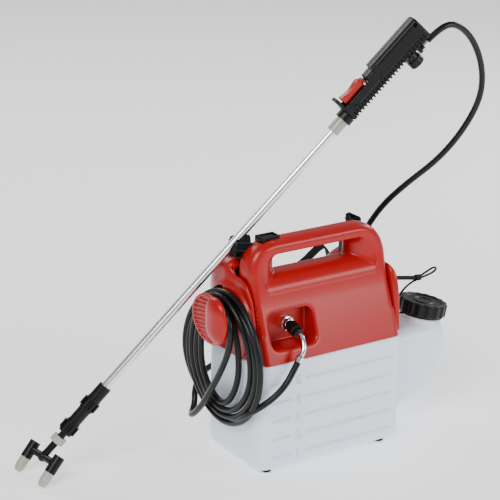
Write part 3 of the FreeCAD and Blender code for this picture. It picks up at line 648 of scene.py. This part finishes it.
def housing_outer(x, y, z, inset):
    """The rear housing's skin, drawn in by inset."""
    corner = np.where(y < 0, 8, 44) - inset
    plan = rect(x - 3.5, y - 7, 124.5 - inset, 73 - inset, corner)
    corner = np.where(z > 200, np.where(x < 0, 26, 58), 1)
    face = rect(x - 3.5, z - 143, 124.5 - inset, 143 - inset, corner)
    solid = round_max(plan, face, 5)
    side = None
    for (y0, z0), (y1, z1) in zip(REAR_SIDE, REAR_SIDE[1:]):
        reach = math.hypot(y1 - y0, z1 - z0)
        edge = (-(z1 - z0) * (y - y0) + (y1 - y0) * (z - z0)) / reach + inset
        side = edge if side is None else soft_max(side, edge, 9)
    solid = soft_max(solid, side, 9)
    ridge = np.interp(y, (-80, 0, 50, 90), (264, 262, 244, 222))
    saddle = soft_max(np.abs(x - 10) - 74 - inset, ridge - inset - z, 14)
    return soft_max(solid, -saddle, 10)


def housing_shape(x, y, z):
    """The rear housing: its skin with the hook's boss, the lance's rest, the seam, the panel's
    opening and the battery door cut out."""
    outer = housing_outer(x, y, z, 0)
    boss = round_max(np.hypot(y + 4, z - 205) - 55, np.abs(x + 115) - 9.5, 4)
    boss = np.maximum(boss, y - 60)
    outer = soft_min(outer, boss, 4)
    rest = round_max(rect(x + 104.5, z - 240, 16.5, 50.5, 15), np.abs(y - 22) - 25, 14)
    outer = soft_min(outer, rest, 16)
    seam = np.abs(z - 232) - 0.9
    groove = np.maximum(seam, -outer - 1.1)
    outer = np.where(y > 10, np.maximum(outer, -groove), outer)
    inner = np.maximum(housing_outer(x, y, z, 3.2), np.abs(x) - 108)
    shell = np.maximum(outer, -inner)
    panel = np.maximum(rect(x - 1.25, z - 240, 113.1, 90, 0.5), y + 1.7)
    shell = soft_max(shell, -panel, 11)
    door = np.maximum(rect(x - 5, z - 188, 71.5, 21.5, 2), 70 - y)
    shell = np.maximum(shell, -door)
    return np.maximum(shell, SEAM - z)


def make_cover():
    panel = sdf_mesh("cover_panel", cover_shape, (-112, -79, SEAM), (114.5, -1.5, 325), 1.7)
    stands_for(panel, "red_plastic", "tank", "cover_front")
    housing = sdf_mesh("cover_housing", housing_shape, (-125, -68, SEAM), (128.5, 80.5, 292),
                       1.9)
    stands_for(housing, "red_plastic", "tank", "rear_housing", "lance_rest")


# Hook -------------------------------------------------------------------------------------


def hook_shape(x, y, z):
    """A ribbed disc on a round neck, with a smooth thumb lobe on its front half."""
    neck = np.hypot(y, z - 207) - 21
    neck = np.maximum(neck, np.maximum(x + 121, -154 - x))
    rim = (np.hypot((y + 5) / 43, (z - 216.5) / 35.5) - 1) * 37
    disc = round_max(rim, np.abs(x + 155) - 3, 2.2)
    ribs = np.abs((z + 0.06 * y * y / 10 - 177) % 6.1 - 3.05) - 1.2
    hollow = np.maximum(rim + 4.5, x + 155.8)
    disc = soft_max(disc, -np.maximum(hollow, -ribs), 1)
    out = np.hypot(y + 22, np.maximum(np.abs(z - 220) - 10, 0)) / 23
    lobe = soft_max((out - 1) * 23, -x - 166 + 8 * out ** 2.5, 4)
    lobe = np.maximum(lobe, x + 154)
    return soft_min(soft_min(neck, disc, 4), lobe, 2)


def make_hook():
    hook = sdf_mesh("hose_hanger", hook_shape, (-166, -50, 180), (-120, 40, 257), 1.2)
    stands_for(hook, "red_plastic", "tank", "hose_hook")


# Gun --------------------------------------------------------------------------------------

GUN_PLACE = np.eye(4)
GUN_PLACE[:3, 0] = LANCE_UP
GUN_PLACE[:3, 1] = LANCE_SIDE
GUN_PLACE[:3, 2] = LANCE_WAY
GUN_PLACE[:3, 3] = LANCE_FOOT


def gun_shape(up, side, t):
    """The whole grip in the lance's frame: up, side and t along it."""
    across = np.abs(side)
    top = np.where(t > 721, 25.5, 20.5)
    section = round_max(across - 13, -9 - up, 3)
    slope = (up - top) * 0.78 + (across - 9) * 0.62
    section = soft_max(section, soft_max(up - top, slope, 3), 3)
    body = round_max(section, np.abs(t - 732.5) - 77.5, 3.5)
    bay = np.maximum(t - 706, 14 - up)
    body = soft_max(body, -bay, 3)
    guard = round_max(rect(across, up - 17, 9, 13, 3), np.abs(t - 657.6) - 2.4, 1.2)
    body = soft_min(body, guard, 3)
    slot = np.maximum(np.maximum(across - 7, np.abs(t - 684) - 22.5), 6.8 - up)
    body = np.maximum(body, -slot)
    rib = np.abs((t - 664) % 5.6 - 2.8) - 1.5
    ribs = np.maximum(np.maximum(rib, np.abs(t - 732) - 70), np.maximum(up - 2, 10 - across))
    under = np.maximum(np.maximum(rib, np.abs(t - 720) - 58), up + 6.6)
    body = soft_max(body, -np.minimum(ribs, under), 0.8)
    bed = rect(t - 697, up - 20, 31, 16.5, 13)
    body = soft_max(body, -np.maximum(bed, 11.9 - across), 0.7)
    seat = np.hypot(side, t - 771) - 7.2
    body = np.maximum(body, -np.maximum(seat, up + 3))
    hole = np.hypot(t - 803, up - 19) - 2.8
    body = np.maximum(body, -hole)
    bore = np.hypot(up, side) - 6.1
    return np.maximum(body, -np.maximum(bore, t - 668))


def make_gun():
    for name, sign in (("left", 1), ("right", -1)):
        def half(up, side, t, sign=sign):
            return np.maximum(gun_shape(up, side, t), 0.12 - sign * side)
        low = (-10, 0 if sign > 0 else -13.5, 654)
        high = (31, 13.5 if sign > 0 else 0, 811)
        shell = sdf_mesh(f"grip_{name}", half, low, high, 1.0, GUN_PLACE)
        stands_for(shell, "black_plastic", "tank", f"gun_half_{name}")


def trigger_shape(up, side, t):
    """The lever in the lance's frame, with a finger's dip and the boss its pin runs in."""
    lever = rect(up - 19.5, t - 681, 5.5, 18, 2.5)
    dip = np.hypot(up - 52, t - 679) - 29
    lever = soft_max(lever, -dip, 3)
    lever = round_max(lever, np.abs(side) - 6, 1.6)
    from_pin = np.hypot(up - 17, t - 700)
    boss = np.maximum(from_pin - 4.4, np.abs(side) - 6)
    return np.maximum(soft_min(lever, boss, 2), 1.6 - from_pin)


def make_trigger():
    trigger = sdf_mesh("squeeze_lever", trigger_shape, (12, -6.2, 662), (26, 6.2, 705), 0.6,
                       GUN_PLACE)
    stands_for(trigger, "red_plastic", "trigger", "trigger")


# Cap and buckles --------------------------------------------------------------------------

BAND_ACROSS = (0.84, -0.54, 0)
LOOP_WIDTH = 19


def cap_shape(x, y, z):
    """Filler cap, z up from its lower rim: sixteen grips, a raised rim and a domed middle."""
    out = np.hypot(x, y)
    wave = np.cos(np.arctan2(y, x) * 16)
    body = round_max(out - 35 - 0.9 * np.clip(wave * 2.2, -1, 1), np.abs(z - 9.5) - 9.5, 2.2)
    dish = round_max(out - 27, 17.4 - z, 0.6)
    body = soft_max(body, -dish, 1.4)
    dome = np.maximum(np.abs(out - 14) - 1.6, z - 18.6)
    body = soft_min(body, np.maximum(dome, 14 - z), 1)
    bore = np.maximum(out - 29.6, z - 15)
    return np.maximum(body, -bore)


def along(origin, way, near):
    """A placement whose own z runs along way, and own x near near."""
    third = np.array(way, float)
    third /= np.linalg.norm(third)
    second = np.cross(third, near)
    second /= np.linalg.norm(second)
    place = np.eye(4)
    place[:3, 0] = np.cross(second, third)
    place[:3, 1] = second
    place[:3, 2] = third
    place[:3, 3] = origin
    return place


def make_cap():
    cap = sdf_mesh("screw_cap", cap_shape, (-36.2, -36.2, 0), (36.2, 36.2, 19.2), 1.3,
                   along(on_filler(19), FILLER_WAY, (0, 1, 0)))
    stands_for(cap, "black_plastic", "cap", "filler_cap")


def buckle_shape(x, y, z):
    """A flat slider with two slots."""
    frame_ring = round_max(rect(x, y, 13.5, 11, 3.5), np.abs(z) - 3.4, 1.3)
    slots = np.minimum(rect(x, y + 4.9, 10.6, 3.4, 1.5), rect(x, y - 4.9, 10.6, 3.4, 1.5))
    return soft_max(frame_ring, -slots, 1)


def make_buckles():
    for name, centre, face, nodes in (
            ("left", (-103.4, -8.6, 306.5), (-0.5, -0.82, 0.28), ["strap_buckles"]),
            ("right", (95, 14, 307), (0.3, -0.8, 0.5), [])):
        buckle = sdf_mesh(f"slider_{name}", buckle_shape, (-13.6, -11.1, -3.5),
                          (13.6, 11.1, 3.5), 0.7, along(centre, face, BAND_ACROSS))
        stands_for(buckle, "black_plastic", "tank", *nodes)


LOOPS = {
    "left": [(-86, 29, 304), (-85, 27, 314), (-89, 17, 319.5), (-96, 3, 320), (-102.5, -8, 315),
             (-103.2, -9.2, 306.5), (-102, -7, 298), (-99, 1, 293), (-95, 12, 291)],
    "right": [(95, 27, 293), (95, 14, 295), (94.5, 9, 300), (95, 11, 306.5), (96, 16, 312.5),
              (98, 22, 312), (99, 25, 307)],
}


def make_loops():
    for name, points in LOOPS.items():
        line = line_through(f"loop_guide_{name}", points)
        loop = ribbon(f"buckle_webbing_{name}", line, LOOP_WIDTH, STRAP_THICKNESS, BAND_ACROSS)
        stands_for(loop, "webbing", "tank")


make_tank()
make_marks()
make_loops()
make_cover()
make_hook()
make_gun()
make_trigger()
make_cap()
make_buckles()

# The CAD's own pieces: each takes its slot's finish and a small moulded edge ---------------

EDGE = {"steel": 0.0002, "chrome": 0.0004}
MOULDED_EDGE = 0.0006

for node, piece in frame["nodes"].items():
    piece.data.materials.clear()
    piece.data.materials.append(FINISH[SLOTS[node]])
    bevel = piece.modifiers.new("edge", "BEVEL")
    bevel.width = EDGE.get(SLOTS[node], MOULDED_EDGE)
    bevel.segments = 2
    bevel.limit_method = "ANGLE"
    bevel.angle_limit = math.radians(40)
